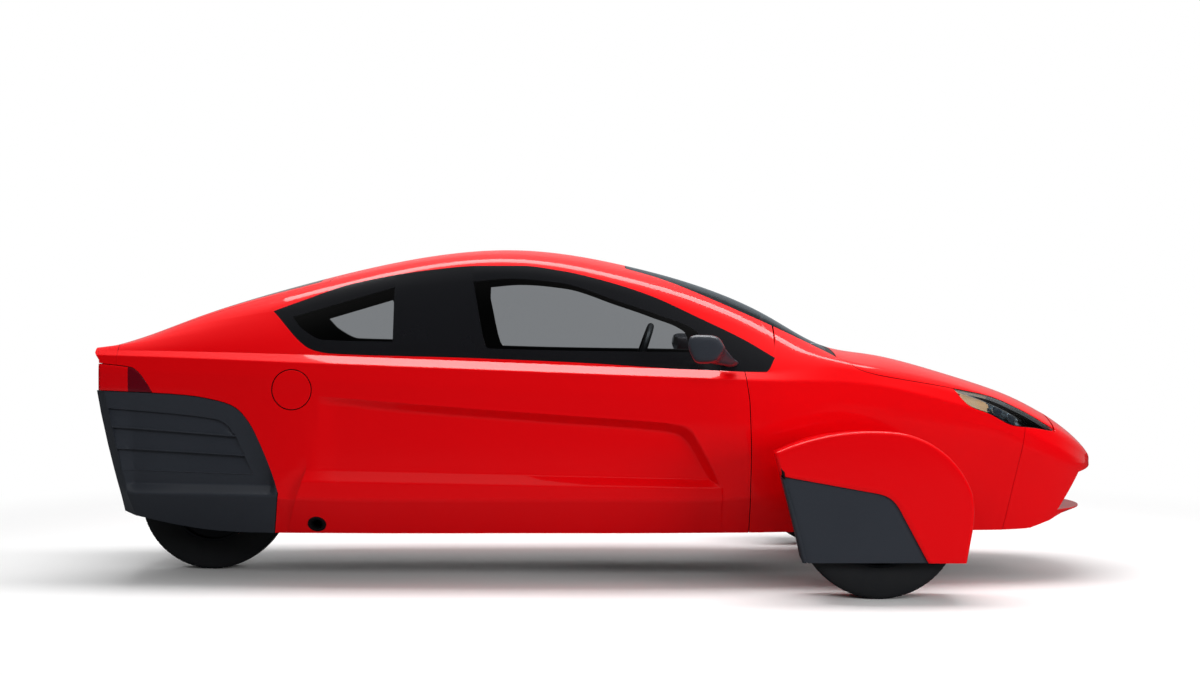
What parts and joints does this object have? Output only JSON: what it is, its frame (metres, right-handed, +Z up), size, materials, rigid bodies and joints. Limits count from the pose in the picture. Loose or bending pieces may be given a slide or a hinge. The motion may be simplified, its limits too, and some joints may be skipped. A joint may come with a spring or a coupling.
{
  "type": "three wheeled car",
  "caption": "Enclosed two-seat tandem car with two faired front wheels on outriggers and one rear wheel under a tapering tail.",
  "frame": {"origin": "on the ground under the middle of the overall length and width", "axes": "+X forward, +Y to the car's left, +Z up"},
  "size_m": [4.1999, 1.696, 1.3825],
  "materials": {
    "red_paint": "glossy red lacquer",
    "grained_plastic": "fine grained dark slate plastic",
    "black_plastic": "satin black",
    "gloss_black": "gloss black",
    "clear_glass": "laminated, clear",
    "tinted_glass": "tempered, tinted",
    "lamp_lens": "clear lens with amber and dark zones behind",
    "red_lens": "clear red lens",
    "dark_steel": "coated dark",
    "black_steel": "satin black",
    "cast_alloy": "as cast",
    "wheel_alloy": "satin",
    "tyre_rubber": "matt rubber",
    "seat_fabric": "woven, dark grey"
  },
  "bodies": {
    "body": {"side_panel_right": "red_paint", "side_panel_left": "red_paint", "roof_shell": "red_paint", "fender_right": "red_paint", "fender_left": "red_paint", "nose_cover": "red_paint", "rear_cover": "grained_plastic", "tail_panel": "red_paint", "cowl_panel": "black_plastic", "windshield": "clear_glass", "headlamps": "lamp_lens", "taillights": "red_lens", "exhaust_tip": "dark_steel", "window_frame_right": "gloss_black", "window_frame_left": "gloss_black", "side_glass": "tinted_glass", "floor_tub": "dark_steel", "front_arms": "black_steel", "drive_shafts": "black_steel", "engine_block": "cast_alloy", "rear_swingarm": "black_steel", "driver_seat": "seat_fabric", "passenger_seat": "seat_fabric", "dashboard": "black_plastic", "intake_grille": "black_plastic", "mirror_right": "black_plastic"},
    "upright_right": {"knuckle_right": "cast_alloy", "pod_right": "red_paint", "pod_cover_right": "grained_plastic"},
    "upright_left": {"knuckle_left": "cast_alloy", "pod_left": "red_paint", "pod_cover_left": "grained_plastic"},
    "wheel_front_right": {"tyre_front_right": "tyre_rubber", "rim_front_right": "wheel_alloy"},
    "wheel_front_left": {"tyre_front_left": "tyre_rubber", "rim_front_left": "wheel_alloy"},
    "wheel_rear": {"tyre_rear": "tyre_rubber", "rim_rear": "wheel_alloy"},
    "steering_wheel": {"steering_wheel": "black_plastic"},
    "steering_rack": {"steering_rack": "black_steel"},
    "door": {"door_panel": "red_paint", "door_frame": "gloss_black", "door_glass": "tinted_glass", "mirror_left": "black_plastic"},
    "hood": {"hood": "red_paint"},
    "hatch": {"hatch_shell": "red_paint", "hatch_glass": "tinted_glass"},
    "fuel_door": {"fuel_door": "red_paint"}
  },
  "joints": [
    {"name": "steer_right", "type": "hinge", "parent": "body", "child": "upright_right", "pos_m": [1.052, -0.68, 0.312], "axis": [0, 0, 1], "range_deg": [-23, 23]},
    {"name": "steer_left", "type": "hinge", "parent": "body", "child": "upright_left", "pos_m": [1.052, 0.68, 0.312], "axis": [0, 0, 1], "range_deg": [-23, 23]},
    {"name": "steering_wheel_turn", "type": "hinge", "parent": "body", "child": "steering_wheel", "pos_m": [0.143, 0, 0.896], "axis": [-0.9455, 0, 0.3256], "range_deg": [-277, 277]},
    {"name": "rack_slide", "type": "slide", "parent": "body", "child": "steering_rack", "axis": [0, 1, 0], "range_m": [-0.0405, 0.0405]},
    {"name": "wheel_front_right_spin", "type": "hinge", "parent": "upright_right", "child": "wheel_front_right", "pos_m": [1.052, -0.725, 0.312], "axis": [0, 1, 0], "continuous": true},
    {"name": "wheel_front_left_spin", "type": "hinge", "parent": "upright_left", "child": "wheel_front_left", "pos_m": [1.052, 0.725, 0.312], "axis": [0, 1, 0], "continuous": true},
    {"name": "wheel_rear_spin", "type": "hinge", "parent": "body", "child": "wheel_rear", "pos_m": [-1.7, 0, 0.312], "axis": [0, 1, 0], "continuous": true},
    {"name": "door_swing", "type": "hinge", "parent": "body", "child": "door", "pos_m": [0.587, 0.537, 0.7], "axis": [0, 0, -1], "range_deg": [0, 65]},
    {"name": "hood_lift", "type": "hinge", "parent": "body", "child": "hood", "pos_m": [0.94, 0, 0.974], "axis": [0, -1, 0], "range_deg": [0, 50]},
    {"name": "hatch_lift", "type": "hinge", "parent": "body", "child": "hatch", "pos_m": [-1.145, 0, 1.277], "axis": [0, 1, 0], "range_deg": [0, 60]},
    {"name": "fuel_door_swing", "type": "hinge", "parent": "body", "child": "fuel_door", "pos_m": [-1.361, -0.483, 0.795], "axis": [0, 0, -1], "range_deg": [0, 90]}
  ],
  "couplings": [
    {"joint": "steer_left", "follows": "steer_right", "ratio": 1},
    {"joint": "steering_wheel_turn", "follows": "steer_right", "ratio": 12},
    {"joint": "rack_slide", "follows": "steer_right", "m_per_rad": -0.1}
  ]
}
